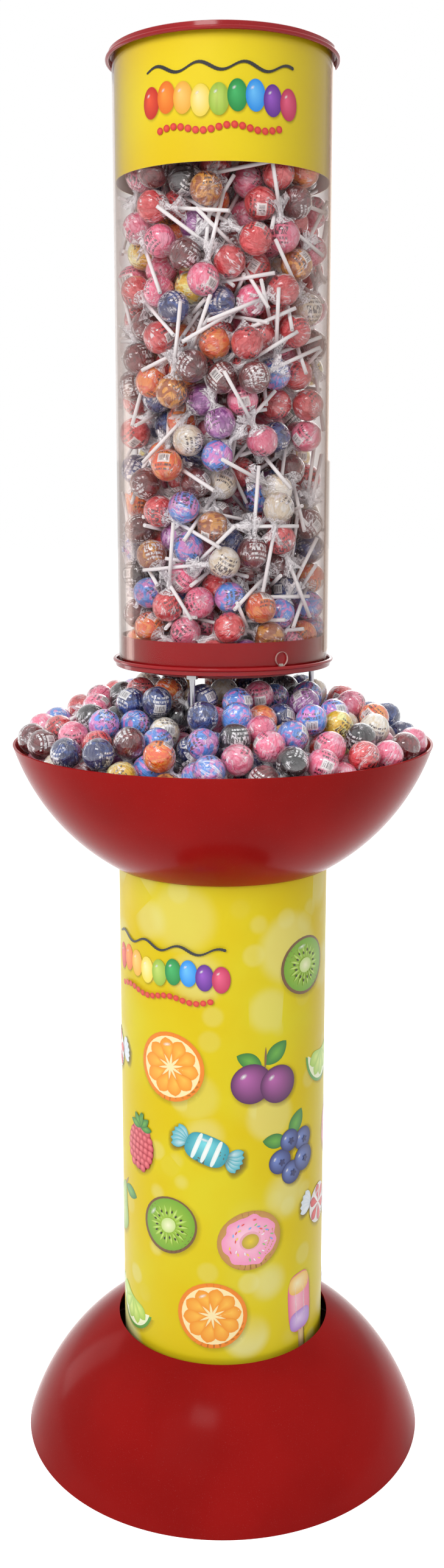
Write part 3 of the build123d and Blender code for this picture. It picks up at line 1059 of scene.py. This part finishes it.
def hold_in_bowl(heads, tails):
    centre = np.array((0.0, 0.0, BOWL_HIGH.z + BOWL_CENTRE_RISE))
    for points, margin in ((heads, BALL_RADIUS), (tails, TAIL_MARGIN)):
        clear_of_legs(points, margin + LEG_CLEAR)
        way = points - centre
        distance = np.linalg.norm(way, axis=1)
        limit = BOWL_CURVE - BOWL_CLEAR - margin
        over = (distance > limit) & (points[:, 2] < BOWL_HIGH.z + 0.03)
        points[over] = centre + way[over] * (limit / distance[over])[:, None]
        reach = keep_within(points, BOWL_HIGH.x - BOWL_EDGE_CLEAR - margin)
        points[:, 2] = np.minimum(points[:, 2], heap_height(reach) - margin)
    reach = np.linalg.norm(heads[:, :2], axis=1)
    heads[:, 2] = np.maximum(heads[:, 2], heap_height(reach) - HEAP_DEPTH)
    tails[:, 2] = np.maximum(tails[:, 2], BOWL_LOW.z + 0.02)


def scatter(count, radius, low, high):
    """Random points in an upright cylinder."""
    reach = radius * np.sqrt(rng.random(count))
    turn = 2 * math.pi * rng.random(count)
    height = low + (high - low) * rng.random(count)
    return np.stack([reach * np.cos(turn), reach * np.sin(turn), height], axis=1)


STOCK_TOP = HEADER_LOW.z + 0.08
TUBE_COUNT = 424
HEAP_COUNT = 292
PASSES = 220
TUBE_SINK, HEAP_SINK = 0.0006, 0.0002
rng = np.random.default_rng(SEED)

tube_heads = scatter(TUBE_COUNT, TUBE_BORE - BALL_RADIUS, TRAY_HIGH.z + 0.02, STOCK_TOP)
tube_tails = tube_heads + STICK_REACH * unit(rng.normal(size=(TUBE_COUNT, 3)))
settle(tube_heads, tube_tails, PASSES, TUBE_SINK, hold_in_tube)

heap_heads = scatter(HEAP_COUNT, BOWL_HIGH.x - 0.022, 0.0, HEAP_DEPTH - 0.02)
heap_tops = heap_height(np.linalg.norm(heap_heads[:, :2], axis=1))
heap_heads[:, 2] = heap_tops - BALL_RADIUS - heap_heads[:, 2]
heap_ways = rng.normal(size=(HEAP_COUNT, 3)) * np.array((1.0, 1.0, 0.5))
heap_tails = heap_heads + STICK_REACH * unit(heap_ways - np.array((0.0, 0.0, 1.3)))
settle(heap_heads, heap_tails, PASSES, HEAP_SINK, hold_in_bowl)


# Lollipop shapes

NOISE_SPREAD = 40
BALL_RINGS = 13
BALL_SIDES = 20
TAIL_SIDES = 16
STICK_SIDES = 8

# (height, radius) of the wrapper's tail, as shares of the ball's radius
TAIL_PROFILE = [(0.8, 0.62), (0.99, 0.34), (1.16, 0.19), (1.36, 0.18)]
TAIL_PROFILE += [(1.6, 0.3), (1.9, 0.46), (2.15, 0.6)]


def directions_of(lean, turn):
    """Unit vectors from their lean off the third axis and their turn round it."""
    return np.stack([np.sin(lean) * np.cos(turn), np.sin(lean) * np.sin(turn), np.cos(lean)], -1)


def axes_of(heads, tails):
    """Three axes for each lollipop, the third along its stick."""
    along = unit(tails - heads)
    other = unit(np.cross(along, rng.normal(size=along.shape)))
    return np.stack([other, np.cross(along, other), along], axis=1)


def ball_pattern():
    """Directions and faces of one ball, rings from the stick's pole down."""
    ring = np.arange(1, BALL_RINGS)[:, None]
    lean = math.pi * ring / BALL_RINGS + np.zeros(BALL_SIDES)
    turn = 2 * math.pi * (np.arange(BALL_SIDES) + 0.5 * (ring % 2)) / BALL_SIDES
    rings = directions_of(lean, turn).reshape(-1, 3)
    directions = np.concatenate([[(0, 0, 1)], rings, [(0, 0, -1)]])
    faces = wall_faces(BALL_RINGS - 1, BALL_SIDES, 1, True)
    last = len(directions) - 1
    for side in range(BALL_SIDES):
        after = (side + 1) % BALL_SIDES
        faces.append((0, 1 + side, 1 + after))
        faces.append((last, last - BALL_SIDES + after, last - BALL_SIDES + side))
    return directions, faces


def repeated(name, pattern, faces, heads, axes, material):
    """One piece made of a pattern, or of one pattern for each, set on every lollipop."""
    size = pattern.shape[-2]
    rule = "ki,nij->nkj" if pattern.ndim == 2 else "nki,nij->nkj"
    points = heads[:, None] + np.einsum(rule, pattern, axes)
    copies = []
    for start in range(0, len(heads) * size, size):
        copies += [tuple(index + start for index in face) for face in faces]
    return mesh_piece(name, points.reshape(-1, 3), copies, material)


def store_vectors(piece, name, rows):
    store(piece, name, "FLOAT_VECTOR", rows.reshape(-1, 3))


def balls(name, heads, axes, colours):
    """Wrapped balls, with the patch and the two candy colours of each kept in the mesh."""
    directions, faces = ball_pattern()
    count, size = len(heads), len(directions)
    lean = np.arccos(np.clip(directions[:, 2], -1, 1))
    turn = np.arctan2(directions[:, 1], directions[:, 0])
    swell = np.ones((count, size))
    for waves in (5, 8, 11):
        phase = rng.random((count, 1)) * 2 * math.pi
        swell += 0.03 * np.exp(-lean / 0.45) * np.sin(waves * turn + phase)
    for waves in (2, 3):
        phase = rng.random((count, 1)) * 2 * math.pi
        swell += 0.01 * np.sin(waves * lean * 1.7 + phase) * np.cos(waves * turn + phase)
    swell *= 1.0 - 0.02 * (1 + np.cos(lean))
    pattern = directions[None] * np.minimum(swell, 1.04)[..., None] * BALL_RADIUS
    piece = repeated(name, pattern, faces, heads, axes, candy)
    patch_lean = math.pi / 2 + rng.normal(size=count) * 0.35
    out = directions_of(patch_lean, rng.random(count) * 2 * math.pi)
    tilt = rng.normal(size=(count, 3)) * 0.35 + np.array((0.0, 0.0, 1.0))
    side = unit(np.cross(tilt, out))
    patch = np.stack([side, np.cross(out, side), out], axis=1)
    store_vectors(piece, "patch", np.einsum("ki,nji->nkj", directions, patch))
    shift = rng.random((count, 1, 3)) * NOISE_SPREAD
    store_vectors(piece, "ball", directions[None] + shift)
    pleats = np.stack([1.5 * np.cos(turn), 1.5 * np.sin(turn), 0.42 * lean], 1)
    store_vectors(piece, "fold", pleats[None] + shift)
    for index, label in enumerate(("candy_a", "candy_b")):
        rows = np.concatenate([colours[:, index], np.ones((count, 1))], 1)
        store(piece, label, "FLOAT_COLOR", np.repeat(rows, size, axis=0))


def tails_of_film(name, heads, axes):
    """The gathered end of each wrapper, a pleated flare round the stick."""
    count, rings = len(heads), len(TAIL_PROFILE)
    turn = 2 * math.pi * np.arange(TAIL_SIDES) / TAIL_SIDES
    pattern = np.zeros((count, rings, TAIL_SIDES, 3))
    pleats = rng.normal(size=(count, TAIL_SIDES)) * 0.28
    lift = rng.normal(size=(count, TAIL_SIDES)) * 0.14
    for ring, (height, radius) in enumerate(TAIL_PROFILE):
        share = max(0.0, (height - 1.2) / 0.95)
        radii = radius * (1 + pleats * (0.25 + share)) * BALL_RADIUS
        pattern[:, ring, :, 0] = radii * np.cos(turn)
        pattern[:, ring, :, 1] = radii * np.sin(turn)
        pattern[:, ring, :, 2] = (height + lift * share) * BALL_RADIUS
    pattern = pattern.reshape(count, -1, 3)
    faces = wall_faces(rings, TAIL_SIDES)
    piece = repeated(name, pattern, faces, heads, axes, film)
    shift = rng.random((count, 1, 3)) * NOISE_SPREAD
    store_vectors(piece, "ball", pattern / BALL_RADIUS * np.array((1, 1, 0.35)) + shift)


def sticks(name, heads, axes):
    """Rolled paper sticks from inside the ball to their hollow ends."""
    end = STICK_REACH
    rings = ((0.9 * BALL_RADIUS, 1.0), (end, 1.0), (end, 0.55), (end - 0.002, 0.5))
    turn = 2 * math.pi * np.arange(STICK_SIDES) / STICK_SIDES
    pattern = np.zeros((len(rings), STICK_SIDES, 3))
    for ring, (height, share) in enumerate(rings):
        pattern[ring, :, 0] = STICK_RADIUS * share * np.cos(turn)
        pattern[ring, :, 1] = STICK_RADIUS * share * np.sin(turn)
        pattern[ring, :, 2] = height
    pattern = pattern.reshape(-1, 3)
    faces = [tuple(reversed(range(STICK_SIDES))), *wall_faces(len(rings), STICK_SIDES)]
    faces.append(tuple(range(len(pattern) - STICK_SIDES, len(pattern))))
    piece = repeated(name, pattern, faces, heads, axes, stick_paper)
    for polygon in piece.data.polygons:
        polygon.use_smooth = len(polygon.vertices) == 4


# Candy colours, first and second, then how common each is high in the tube, low in the tube
# and in the bowl
FLAVOURS = (
    ((0.82, 0.2, 0.33), (0.88, 0.38, 0.5), 38, 13, 24),
    ((0.64, 0.035, 0.05), (0.8, 0.17, 0.18), 23, 13, 9),
    ((0.17, 0.005, 0.012), (0.26, 0.015, 0.025), 10, 19, 12),
    ((0.84, 0.17, 0.015), (0.9, 0.34, 0.06), 10, 9, 5),
    ((0.82, 0.56, 0.03), (0.92, 0.84, 0.4), 5, 5, 3),
    ((0.82, 0.72, 0.57), (0.9, 0.86, 0.8), 5, 6, 5),
    ((0.14, 0.36, 0.8), (0.7, 0.3, 0.64), 4, 14, 18),
    ((0.013, 0.03, 0.17), (0.05, 0.12, 0.36), 2, 12, 15),
    ((0.01, 0.006, 0.01), (0.04, 0.02, 0.03), 2, 8, 9),
    ((0.3, 0.08, 0.32), (0.56, 0.28, 0.56), 3, 3, 4),
    ((0.42, 0.14, 0.02), (0.72, 0.38, 0.08), 3, 4, 1),
)


COLOUR_DEPTH = 1.35


def pick_colours(heads, in_bowl):
    """Candy colours for each lollipop, by where it lies."""
    table = np.array([flavour[2:] for flavour in FLAVOURS], float)
    table /= table.sum(axis=0)
    high, low, bowl = table.T
    if in_bowl:
        chances = np.repeat(bowl[None], len(heads), axis=0)
    else:
        rise = (heads[:, 2] - COLLAR_HIGH.z) / (HEADER_LOW.z - COLLAR_HIGH.z)
        rise = np.clip(rise * 1.6 - 0.35, 0, 1)[:, None]
        chances = rise * high + (1 - rise) * low
    draw = rng.random((len(heads), 1))
    picked = (np.cumsum(chances, axis=1) < draw).sum(axis=1).clip(0, len(FLAVOURS) - 1)
    pairs = np.array([flavour[:2] for flavour in FLAVOURS])[picked]
    return pairs**COLOUR_DEPTH * (0.92 + 0.36 * rng.random((len(heads), 1, 1)))


STOCK_GROUPS = 4


def stock(label, heads, tails, shares, in_bowl):
    """Build the lollipops in groups, by a share from 0 to 1 of each."""
    group = np.clip(shares * STOCK_GROUPS, 0, STOCK_GROUPS - 1).astype(int)
    for index in range(STOCK_GROUPS):
        chosen = group == index
        group_name = label + "_" + str(index + 1)
        axes = axes_of(heads[chosen], tails[chosen])
        colours = np.clip(pick_colours(heads[chosen], in_bowl), 0, 0.95)
        balls(group_name + "_balls", heads[chosen], axes, colours)
        tails_of_film(group_name + "_wrapper_tails", heads[chosen], axes)
        sticks(group_name + "_sticks", heads[chosen], axes)


heights = (tube_heads[:, 2] - TUBE_LOW.z) / (STOCK_TOP - TUBE_LOW.z)
stock("tube_stock", tube_heads, tube_tails, heights, False)
turns = (np.arctan2(heap_heads[:, 1], heap_heads[:, 0]) + math.pi) / (2 * math.pi)
stock("bowl_stock", heap_heads, heap_tails, turns, True)

make_bowl()
make_dome()
make_tray()
make_lid()
make_notch_edge()
print_artwork()


# Floor, lights and camera

FLOOR_REACH = 30.0
FLOOR_LIFT = 0.72
SKY_LIGHT = 0.47


def seen_directly(f):
    """1 for rays that see or mirror the surround, and 0 for the light that falls from it."""
    path = f.tree.nodes.new("ShaderNodeLightPath")
    rays = ("Is Camera Ray", "Is Glossy Ray", "Is Transmission Ray")
    camera_ray, *others = [Value(f, path.outputs[name]) for name in rays]
    for other in others:
        camera_ray = camera_ray.math("MAXIMUM", other)
    return camera_ray


def stage_sheet():
    """A wide pale floor that shows white and keeps the display's shadow."""
    mesh = bpy.data.meshes.new("floor")
    signs = ((-1, -1), (1, -1), (1, 1), (-1, 1))
    corners = [(x * FLOOR_REACH, y * FLOOR_REACH, 0) for x, y in signs]
    mesh.from_pydata(corners, [], [(0, 1, 2, 3)])
    piece = bpy.data.objects.new("floor", mesh)
    bpy.context.scene.collection.objects.link(piece)
    f = Finish("floor_white")
    matt = f.node("BsdfDiffuse", None, {"Color": (0.86, 0.86, 0.86)})
    strength = seen_directly(f) * FLOOR_LIFT
    lift = f.node("Emission", None, {"Color": WHITE, "Strength": strength})
    mesh.materials.append(f.done(f.node("AddShader", None, {0: matt, 1: lift})))


def sky():
    """A white surround that lights softly, and shows white where it is seen or mirrored."""
    f = Finish("surround", bpy.data.worlds, "OutputWorld")
    soft = f.node("Background", None, {"Color": WHITE, "Strength": SKY_LIGHT})
    white = f.node("Background", None, {"Color": WHITE})
    bpy.context.scene.world = f.done(f.blend(seen_directly(f), soft, white))


def lamp(name, place, aim, size, power, mirrored=True, lights=True):
    """A rectangle of light; it can be left out of reflections, or be only in reflections."""
    light = bpy.data.lights.new(name, "AREA")
    light.shape = "RECTANGLE"
    light.size, light.size_y = size
    light.energy = power
    holder = bpy.data.objects.new(name, light)
    holder.location = place
    holder.rotation_euler = (Vector(aim) - Vector(place)).to_track_quat("-Z", "Y").to_euler()
    holder.visible_glossy = mirrored
    holder.visible_diffuse = lights
    bpy.context.scene.collection.objects.link(holder)


stage_sheet()
sky()
lamp("key", (-1.4, -2.7, 2.6), (0, 0, 1.1), (2.0, 2.0), 73.0, False)
lamp("window", (-2.6, 0.25, 1.5), (0, 0, 0.9), (1.1, 2.2), 5.0, False)
lamp("strip", (-1.9, 1.2, 0.75), (-0.15, -0.05, 0.1), (0.55, 1.4), 6.0, True, False)
lamp("sparkle", (-0.7, -2.2, 3.4), (0, 0, 1.1), (0.95, 0.65), 20.0, True, False)
lamp("fill", (2.5, -2.0, 2.1), (0, 0, 1.1), (2.0, 2.0), 7.0, False)
lamp("top", (0.2, 0.4, 3.2), (0, 0, 0.8), (1.6, 1.6), 20.0, False)
lamp("back", (0.6, 2.4, 2.0), (0, 0, 1.0), (1.4, 1.6), 14.0)

# The camera that matches the photograph: focal length and middle of view in its pixels
PHOTO_WIDTH, PHOTO_HEIGHT = 729, 2576
FOCAL_PIXELS = 2408.7
MIDDLE_X, MIDDLE_Y = 366.0, 1263.05
SENSOR = 36.0
CAMERA_PLACE = (0.0, -1.7098, 1.159)
CAMERA_DROP = 10.606

camera_data = bpy.data.cameras.new("camera")
camera_data.sensor_width = SENSOR
camera_data.lens = FOCAL_PIXELS / PHOTO_HEIGHT * SENSOR
camera_data.shift_x = (PHOTO_WIDTH / 2 - MIDDLE_X) / PHOTO_HEIGHT
camera_data.shift_y = -(PHOTO_HEIGHT / 2 - MIDDLE_Y) / PHOTO_HEIGHT
camera = bpy.data.objects.new("camera", camera_data)
camera.location = CAMERA_PLACE
camera.rotation_euler = (math.radians(90 - CAMERA_DROP), 0.0, 0.0)
bpy.context.scene.collection.objects.link(camera)
bpy.context.scene.camera = camera
bpy.context.scene.view_settings.view_transform = "Standard"
